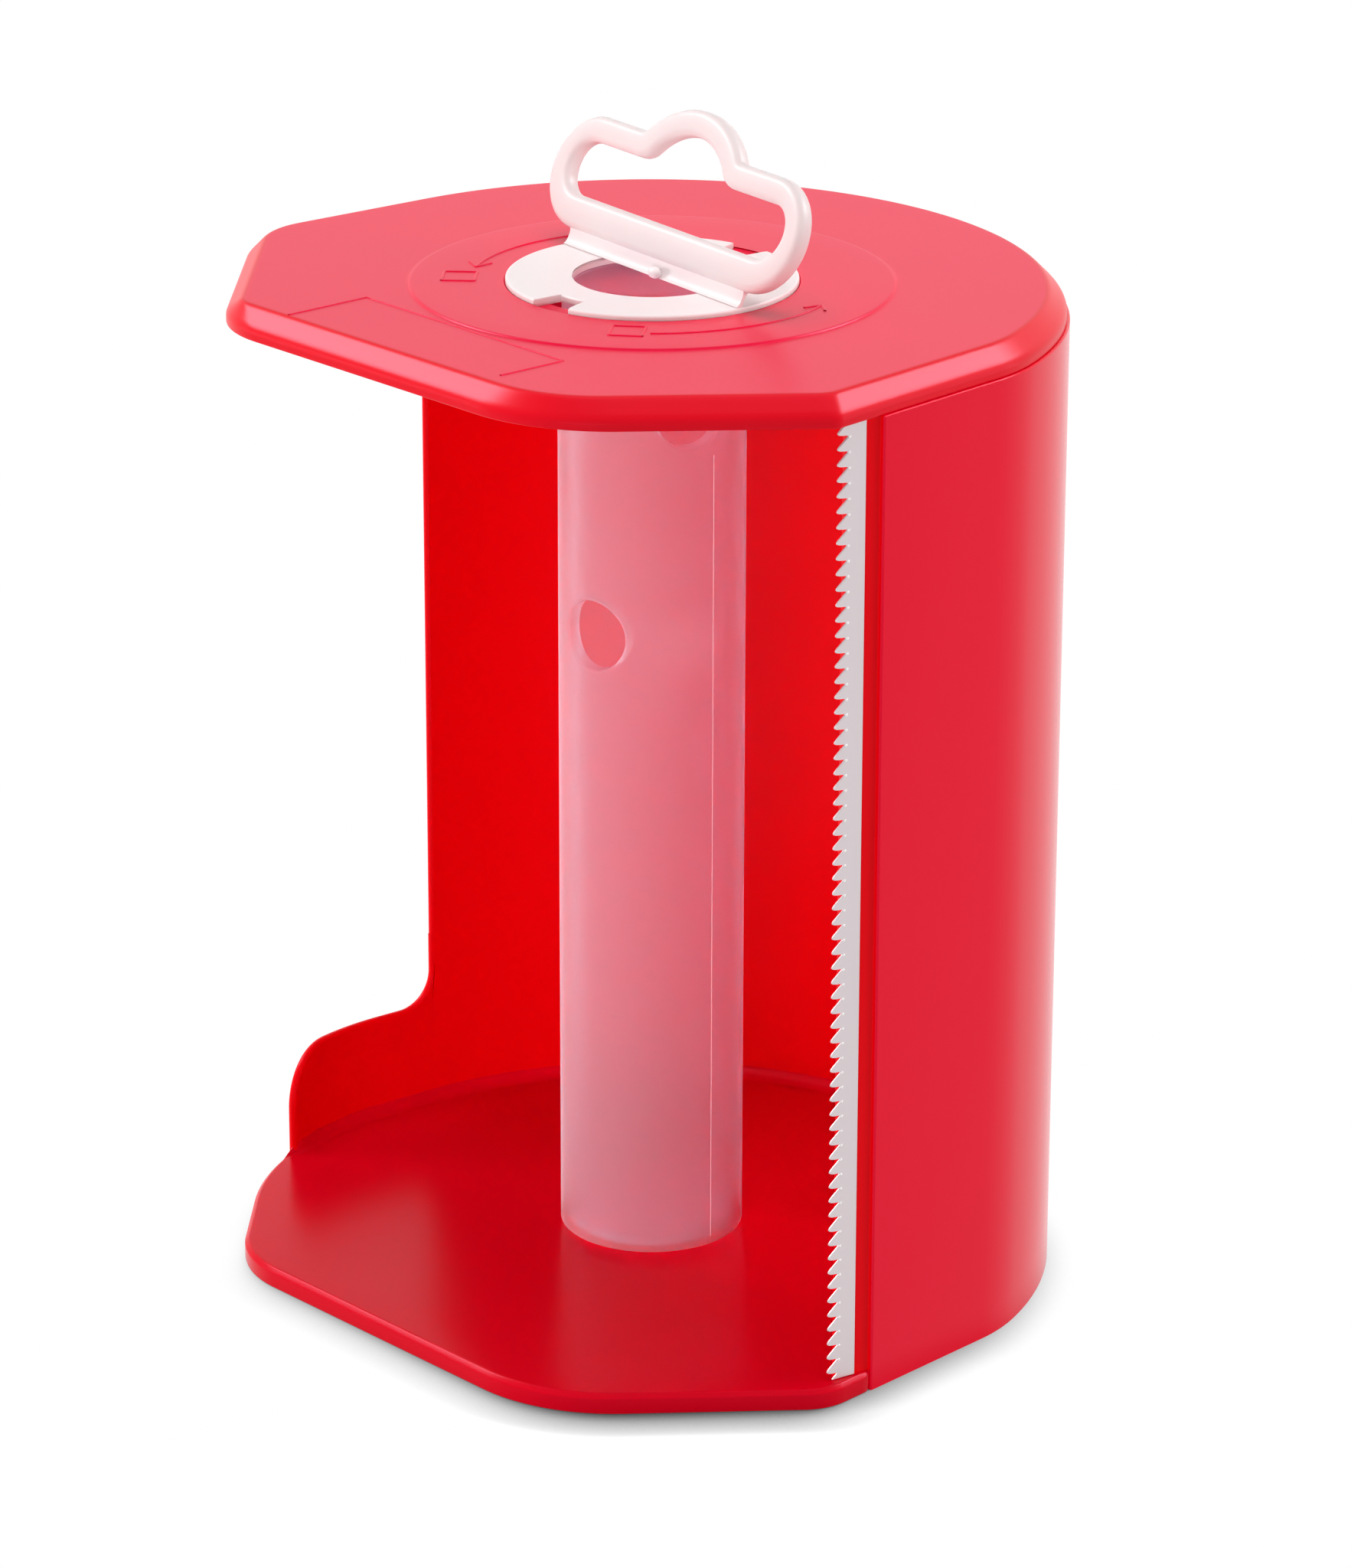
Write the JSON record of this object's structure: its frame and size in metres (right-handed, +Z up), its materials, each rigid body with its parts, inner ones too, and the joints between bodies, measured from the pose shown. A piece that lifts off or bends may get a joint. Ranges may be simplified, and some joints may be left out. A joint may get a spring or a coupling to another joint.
{
  "type": "masking paper dispenser",
  "caption": "Masking paper dispenser: open red plastic drum with a serrated cutter, lift-out roll spindle and folding hang handle.",
  "frame": {"origin": "on the table, under the spindle's axis", "axes": "+Z up along the spindle, +X to the right and -Y to the open front where the paper leaves"},
  "size_m": [0.1683, 0.1657, 0.2425],
  "materials": {
    "red_plastic": "glossy injection-moulded plastic",
    "natural_plastic": "natural translucent plastic, satin",
    "cutter_steel": "bright strip steel"
  },
  "bodies": {
    "housing": {"base_plate": "red_plastic", "wall_shell": "red_plastic", "top_plate": "red_plastic", "cutter_blade": "cutter_steel"},
    "spindle": {"spindle_tube": "natural_plastic"},
    "cap": {"lock_cap": "natural_plastic", "hinge_web": "natural_plastic"},
    "handle": {"carry_handle": "natural_plastic"}
  },
  "joints": [
    {"name": "spindle_lift", "type": "slide", "parent": "housing", "child": "spindle", "axis": [0, 0, 1], "range_m": [0, 0.213]},
    {"name": "lock_turn", "type": "hinge", "parent": "spindle", "child": "cap", "pos_m": [0, 0, 0.2076], "axis": [0, 0, 1], "range_deg": [0, 60]},
    {"name": "handle_fold", "type": "hinge", "parent": "cap", "child": "handle", "pos_m": [0.00091, 0.00069, 0.21345], "axis": [0.6018, -0.7986, 0], "range_deg": [-64, 114], "deforming": ["hinge_web"]}
  ]
}
